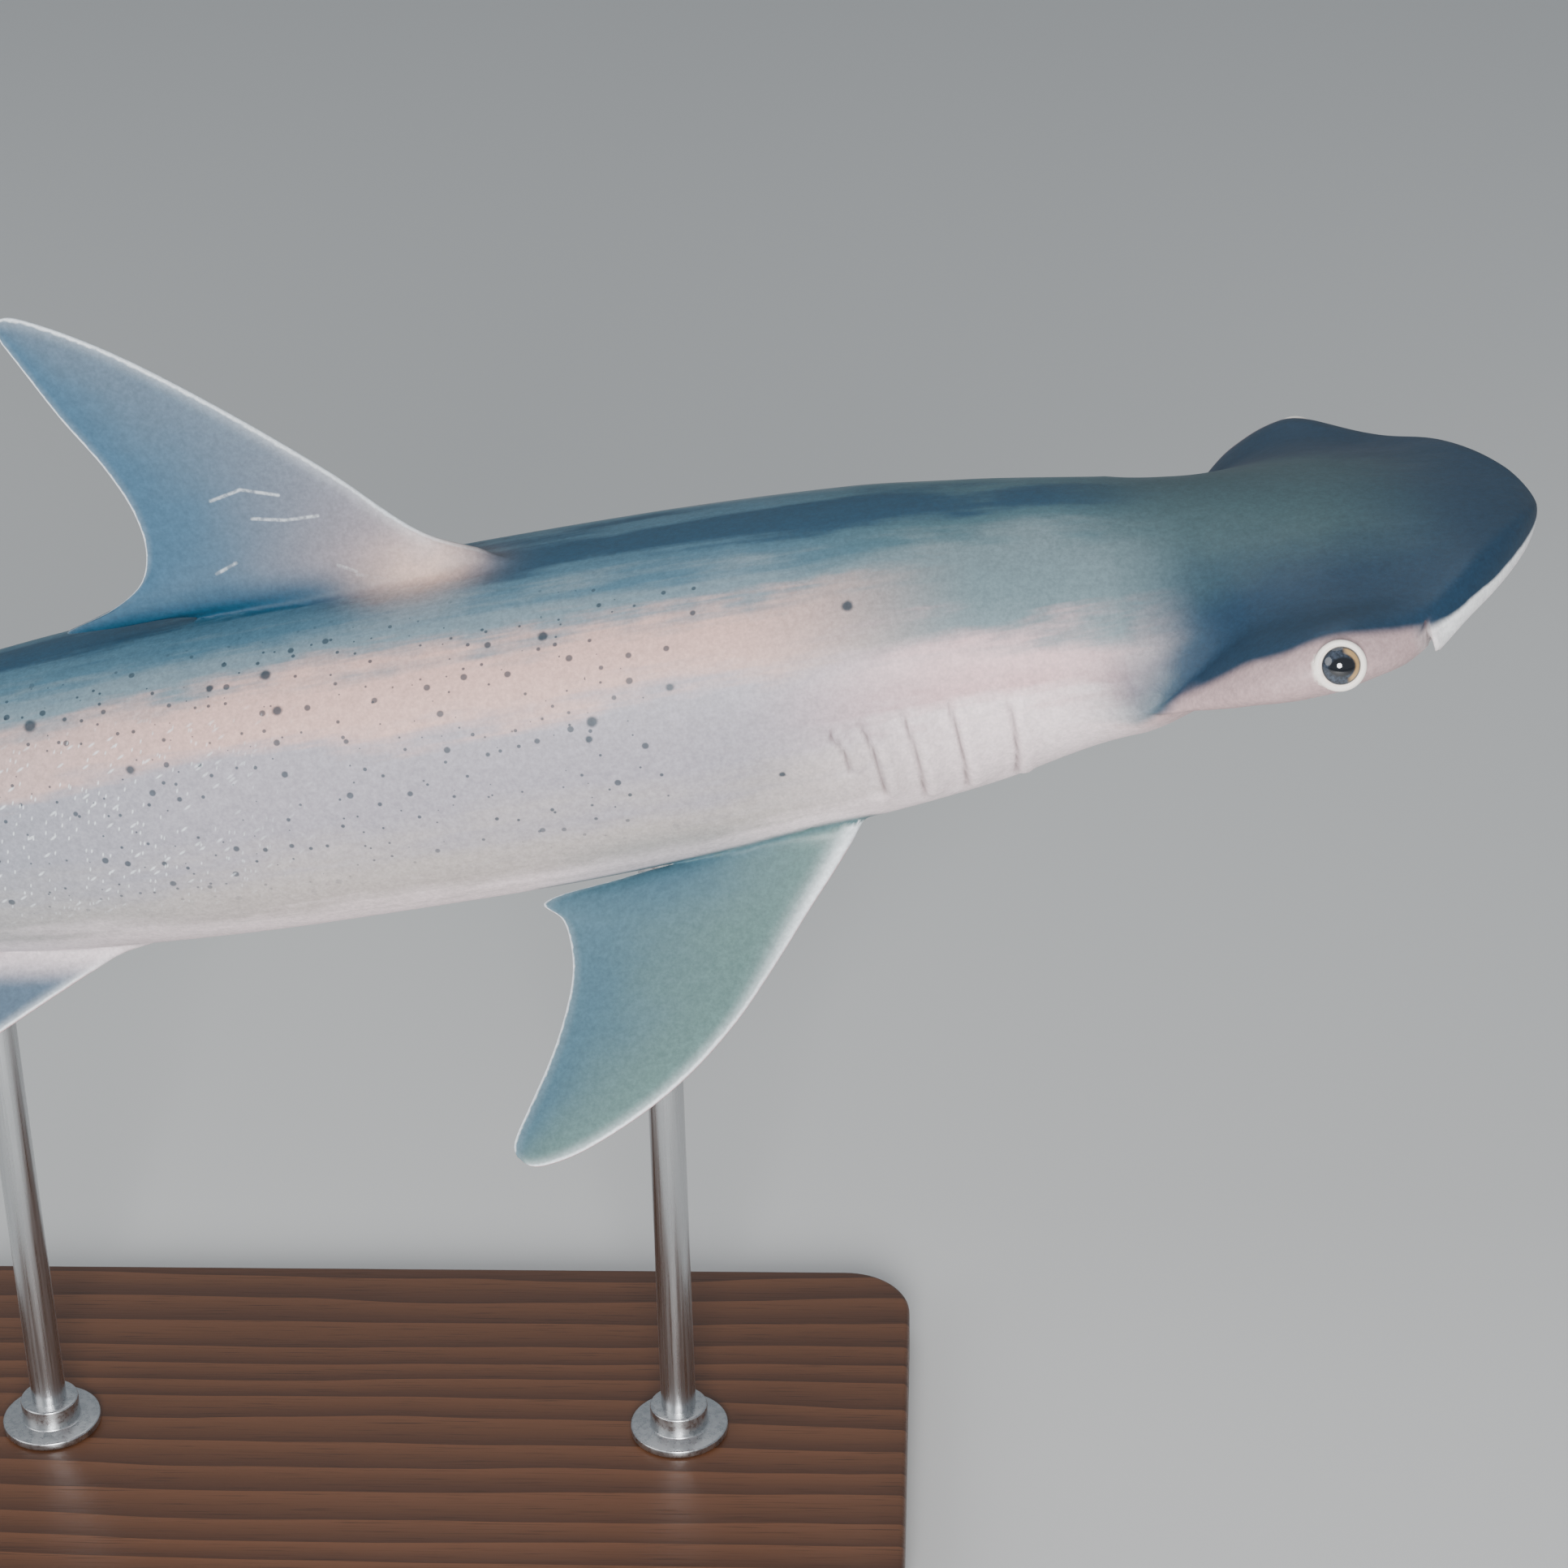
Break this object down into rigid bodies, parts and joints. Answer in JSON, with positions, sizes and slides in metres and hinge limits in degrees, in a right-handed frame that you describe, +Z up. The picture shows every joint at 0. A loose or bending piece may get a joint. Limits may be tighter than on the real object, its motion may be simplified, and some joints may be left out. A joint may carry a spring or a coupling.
{
  "type": "bonnethead shark display model",
  "caption": "Life-size small hammerhead shark with a shovel-shaped head, swimming nose up on a flat wooden base with steel rods.",
  "frame": {"origin": "on the floor, under the middle of the whole model's box in X and Y", "axes": "+Z up, the shark's nose towards +X, its left side towards +Y"},
  "size_m": [0.9672, 0.2058, 0.4337],
  "materials": {
    "skin": "fine satin skin, slate grey above and pinkish white below",
    "eye": "glossy dark eye with a pale ring",
    "stand_wood": "dark oiled walnut",
    "stand_steel": "brushed steel"
  },
  "bodies": {
    "root": {"head": "skin", "lower_jaw": "skin", "neck": "skin", "trunk_front": "skin", "trunk_rear": "skin", "tail_stock": "skin", "caudal_upper_lobe": "skin", "caudal_lower_lobe": "skin", "dorsal_fin_first": "skin", "dorsal_fin_second": "skin", "anal_fin": "skin", "pectoral_fin_left": "skin", "pectoral_fin_right": "skin", "pelvic_fin_left": "skin", "pelvic_fin_right": "skin", "eye_left": "eye", "eye_right": "eye", "stand_base": "stand_wood", "stand_rod_front": "stand_steel", "stand_rod_rear": "stand_steel", "stand_flange_front": "stand_steel", "stand_flange_rear": "stand_steel"}
  },
  "joints": []
}
